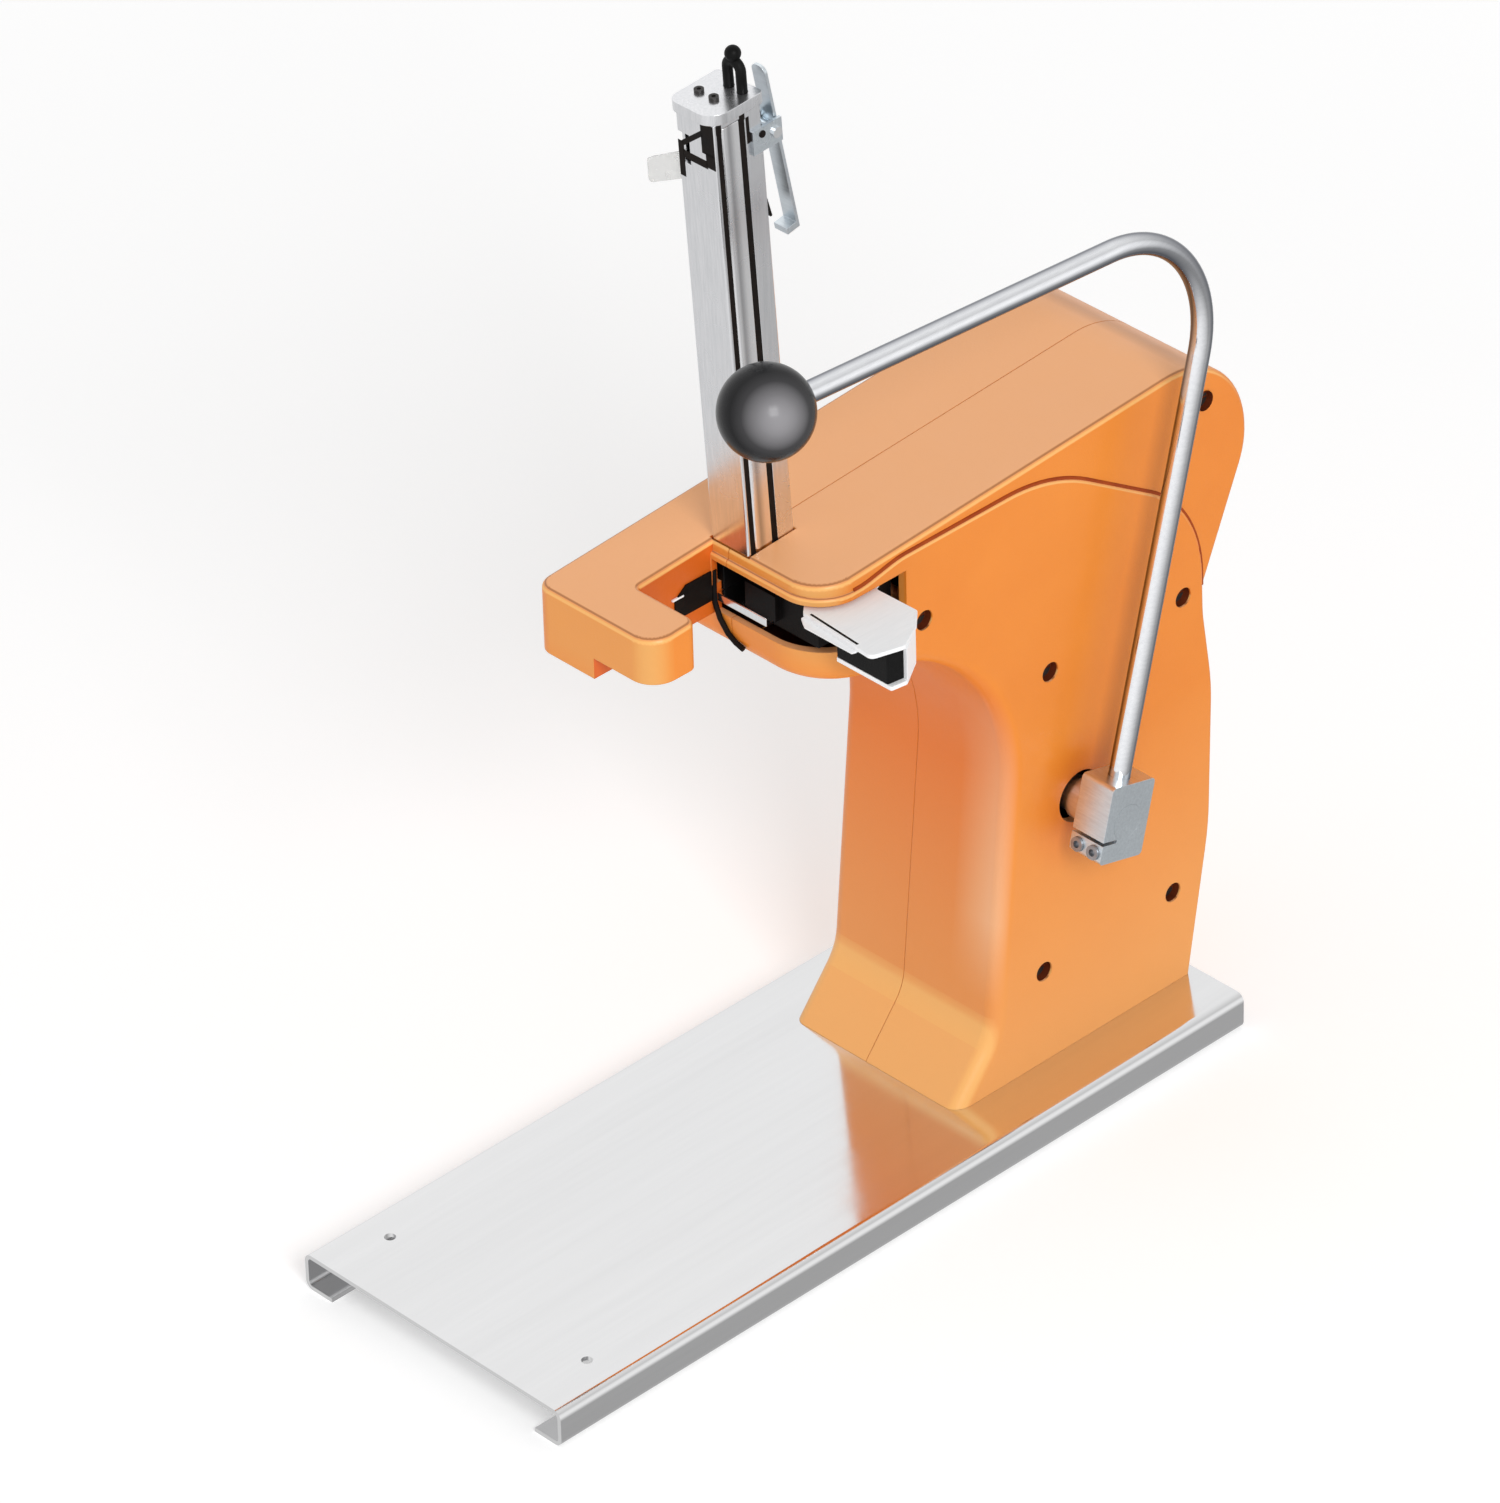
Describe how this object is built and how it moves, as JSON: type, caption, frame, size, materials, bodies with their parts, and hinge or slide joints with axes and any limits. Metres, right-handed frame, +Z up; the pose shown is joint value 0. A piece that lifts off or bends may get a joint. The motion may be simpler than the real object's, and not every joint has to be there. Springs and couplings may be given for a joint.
{
  "type": "bag neck sealer",
  "caption": "Bench tool that closes a bag's neck: folded steel base, hollow column with C-shaped arm, clip magazine, ball handle driving a ram, side lever with trimming blade.",
  "frame": {"origin": "centre of the whole device's footprint at rest, handle included, on the surface the base rests on", "axes": "+X to the user's right, where the handle is; +Y from the user towards the column's back; +Z up along the clip magazine's height"},
  "size_m": [0.167, 0.4362, 0.5481],
  "materials": {
    "shell_orange": "satin orange, fine texture",
    "base_steel": "mirror polished stainless sheet",
    "rod_chrome": "bright drawn rod",
    "ball_black": "gloss black moulding",
    "block_steel": "milled steel",
    "magazine_metal": "polished extrusion",
    "lever_steel": "bright sheet",
    "grip_black": "matte black moulding",
    "track_black": "black oxide blocks",
    "tool_steel": "ground tool steel",
    "frame_steel": "zinc plated plate",
    "fastener_steel": "plated fasteners and pins",
    "bush_bronze": "sintered bronze",
    "spring_steel": "bright spring wire",
    "clip_alloy": "stamped clips",
    "follower_grey": "dark moulding",
    "flag_clear": "pale clear moulding"
  },
  "bodies": {
    "frame": {"anvil": "tool_steel", "anvil_screws": "fastener_steel", "base_plate": "base_steel", "cap_screws": "fastener_steel", "clip_stick": "clip_alloy", "foot_bolts": "fastener_steel", "foot_nuts": "fastener_steel", "frame_plate_left": "frame_steel", "frame_plate_right": "frame_steel", "frame_screws": "fastener_steel", "frame_spacers": "frame_steel", "housing_left": "shell_orange", "housing_right": "shell_orange", "housing_screws_left": "fastener_steel", "housing_screws_right": "fastener_steel", "latch_bracket": "lever_steel", "latch_pin": "fastener_steel", "lever_pin": "fastener_steel", "lever_spring": "spring_steel", "magazine_cap": "magazine_metal", "magazine_channel": "magazine_metal", "magazine_foot": "track_black", "magazine_foot_screws": "fastener_steel", "magazine_rail": "magazine_metal", "refill_flag": "flag_clear", "return_spring": "spring_steel", "shaft_bush_left": "bush_bronze", "shaft_bush_right": "bush_bronze", "spring_anchor_pin": "fastener_steel", "top_loop": "grip_black", "track_cover": "track_black", "track_floor": "lever_steel", "track_left": "track_black", "track_right": "track_black", "track_screws": "fastener_steel"},
    "handle": {"drive_shaft": "block_steel", "shaft_ring": "fastener_steel", "clamp_block": "block_steel", "clamp_screws": "fastener_steel", "handle_rod": "rod_chrome", "ball_knob": "ball_black", "crank_arm": "frame_steel", "crank_pin": "fastener_steel", "crank_roller": "fastener_steel", "crank_spring_pin": "fastener_steel"},
    "ram": {"ram_bar": "tool_steel", "ram_tip": "tool_steel"},
    "trim_lever": {"trim_lever": "lever_steel", "lever_grip": "grip_black", "trim_blade": "lever_steel", "blade_screws": "fastener_steel"},
    "follower": {"follower_weight": "follower_grey"},
    "latch": {"latch_lever": "lever_steel"}
  },
  "joints": [
    {"name": "handle_swing", "type": "hinge", "parent": "frame", "child": "handle", "pos_m": [0.0635, 0.11495, 0.145], "axis": [1, 0, 0], "range_deg": [0, 28], "stiffness_Nm_per_rad": 1.2, "springref_deg": -28.65, "deforming": ["return_spring"]},
    {"name": "ram_slide", "type": "slide", "parent": "frame", "child": "ram", "axis": [0, -1, 0], "range_m": [0, 0.0683]},
    {"name": "trim_swing", "type": "hinge", "parent": "frame", "child": "trim_lever", "pos_m": [0.0245, 0.00195, 0.3023], "axis": [0, 0, -1], "range_deg": [0, 15], "stiffness_Nm_per_rad": 0.15, "springref_deg": -11.46},
    {"name": "follower_slide", "type": "slide", "parent": "frame", "child": "follower", "axis": [0, -0.061, 0.9981], "range_m": [0, 0.045]},
    {"name": "latch_swing", "type": "hinge", "parent": "frame", "child": "latch", "pos_m": [-0.0036, -0.01124, 0.50707], "axis": [1, 0, 0], "range_deg": [0, 9], "stiffness_Nm_per_rad": 0.03, "springref_deg": -11.46}
  ],
  "couplings": [
    {"joint": "ram_slide", "follows": "handle_swing", "m_per_rad": 0.1396}
  ]
}
